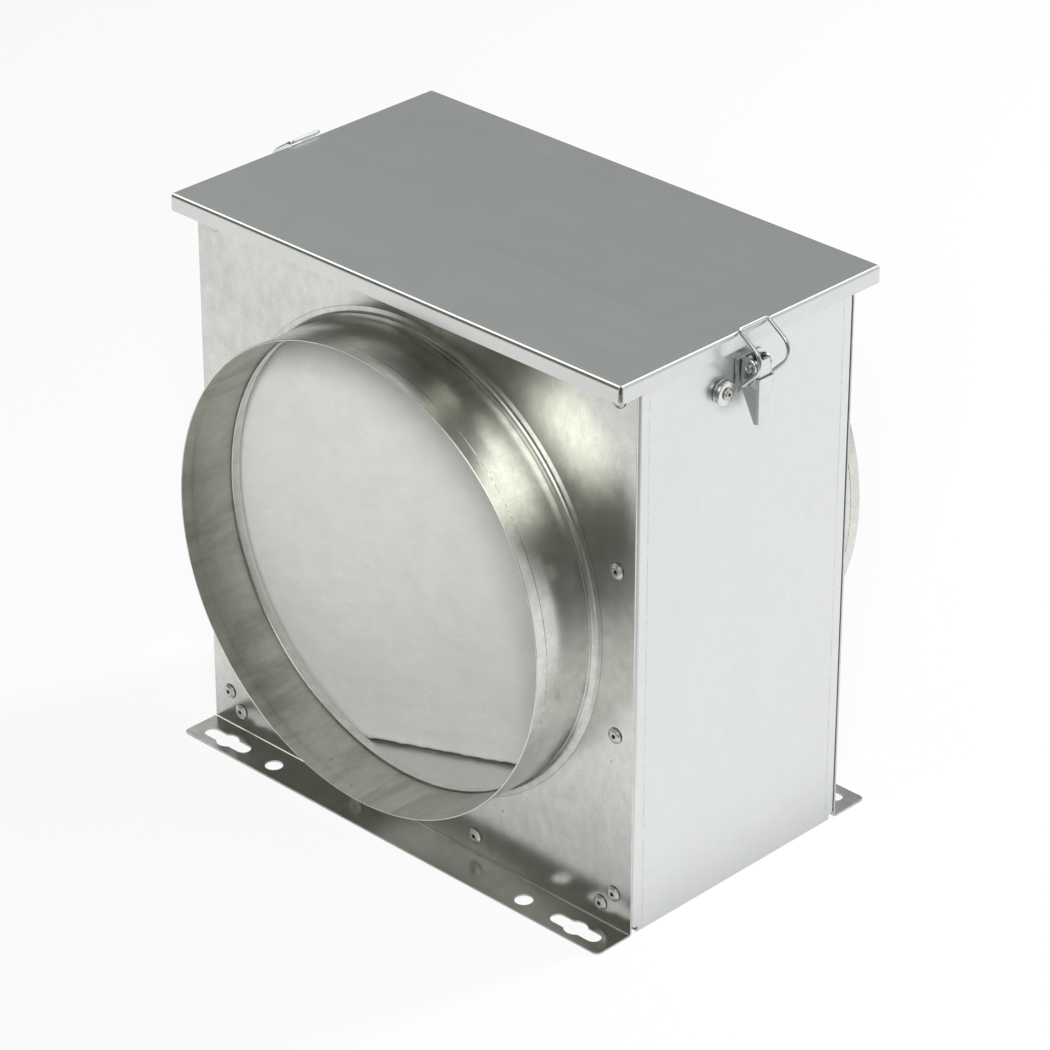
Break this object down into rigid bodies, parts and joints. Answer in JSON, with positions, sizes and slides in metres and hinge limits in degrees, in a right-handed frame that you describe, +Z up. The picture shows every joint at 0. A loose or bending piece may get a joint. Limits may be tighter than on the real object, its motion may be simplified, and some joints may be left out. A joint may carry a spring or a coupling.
{
  "type": "inline duct filter box",
  "caption": "Folded sheet-steel filter box for round ventilation duct: spigots front and back, slotted feet, a lift-off lid held by wire-bail toggle latches and a diagonal fleece filter.",
  "frame": {"origin": "centre of the casing's footprint on the plane the feet stand on", "axes": "+Z up to the lid, +Y along the duct from the front spigot to the rear spigot, +X to the end wall with the grooved button"},
  "size_m": [0.3354, 0.2326, 0.3089],
  "materials": {
    "galvanised_sheet": "satin galvanised, faint mottling",
    "spigot_steel": "satin galvanised, spun",
    "lid_steel": "satin galvanised",
    "zinc_plate": "bright zinc plate",
    "rivet_aluminium": "dull",
    "filter_fleece": "matt needled fleece",
    "seal_foam": "matt cellular foam"
  },
  "bodies": {
    "casing": {"casing_wrap": "galvanised_sheet", "front_panel": "galvanised_sheet", "rear_panel": "galvanised_sheet", "front_spigot": "spigot_steel", "front_spigot_root": "spigot_steel", "rear_spigot": "spigot_steel", "rear_spigot_root": "spigot_steel", "filter_guide_left": "galvanised_sheet", "filter_guide_right": "galvanised_sheet", "right_latch_base": "zinc_plate", "right_latch_pin": "zinc_plate", "left_latch_base": "zinc_plate", "left_latch_pin": "zinc_plate", "grooved_button": "zinc_plate", "front_rivet_01": "rivet_aluminium", "front_rivet_02": "rivet_aluminium", "front_rivet_03": "rivet_aluminium", "front_rivet_04": "rivet_aluminium", "front_rivet_05": "rivet_aluminium", "front_rivet_06": "rivet_aluminium", "front_rivet_07": "rivet_aluminium", "front_rivet_08": "rivet_aluminium", "front_rivet_09": "rivet_aluminium", "front_rivet_10": "rivet_aluminium", "front_rivet_11": "rivet_aluminium", "front_rivet_12": "rivet_aluminium", "rear_rivet_01": "rivet_aluminium", "rear_rivet_02": "rivet_aluminium", "rear_rivet_03": "rivet_aluminium", "rear_rivet_04": "rivet_aluminium", "rear_rivet_05": "rivet_aluminium", "rear_rivet_06": "rivet_aluminium", "rear_rivet_07": "rivet_aluminium", "rear_rivet_08": "rivet_aluminium", "rear_rivet_09": "rivet_aluminium", "rear_rivet_10": "rivet_aluminium", "rear_rivet_11": "rivet_aluminium", "rear_rivet_12": "rivet_aluminium", "right_latch_rivet_1": "rivet_aluminium", "right_latch_rivet_2": "rivet_aluminium", "left_latch_rivet_1": "rivet_aluminium", "left_latch_rivet_2": "rivet_aluminium", "button_rivet": "rivet_aluminium"},
    "lid": {"lid": "lid_steel", "lid_gasket": "seal_foam"},
    "filter_insert": {"filter_pad": "filter_fleece", "filter_grid": "zinc_plate"},
    "right_lever": {"right_latch_lever": "zinc_plate"},
    "right_bail": {"right_latch_bail": "zinc_plate"},
    "left_lever": {"left_latch_lever": "zinc_plate"},
    "left_bail": {"left_latch_bail": "zinc_plate"}
  },
  "joints": [
    {"name": "lid_lift", "type": "slide", "parent": "casing", "child": "lid", "axis": [0, 0, 1], "range_m": [0, 0.4]},
    {"name": "filter_lift", "type": "slide", "parent": "casing", "child": "filter_insert", "axis": [0, 0, 1], "range_m": [0, 0.3]},
    {"name": "right_lever_hinge", "type": "hinge", "parent": "casing", "child": "right_lever", "pos_m": [0.156, -0.0012, 0.2878], "axis": [0, -1, 0], "range_deg": [0, 140]},
    {"name": "right_bail_hinge", "type": "hinge", "parent": "right_lever", "child": "right_bail", "pos_m": [0.156, -0.0012, 0.2798], "axis": [0, -1, 0], "range_deg": [-182, 0]},
    {"name": "left_lever_hinge", "type": "hinge", "parent": "casing", "child": "left_lever", "pos_m": [-0.156, 0.0012, 0.2878], "axis": [0, 1, 0], "range_deg": [0, 140]},
    {"name": "left_bail_hinge", "type": "hinge", "parent": "left_lever", "child": "left_bail", "pos_m": [-0.156, 0.0012, 0.2798], "axis": [0, 1, 0], "range_deg": [-182, 0]}
  ],
  "couplings": [
    {"joint": "filter_lift", "follows": "lid_lift", "ratio": 0.75},
    {"joint": "right_bail_hinge", "follows": "right_lever_hinge", "ratio": -1.3},
    {"joint": "left_bail_hinge", "follows": "left_lever_hinge", "ratio": -1.3}
  ]
}
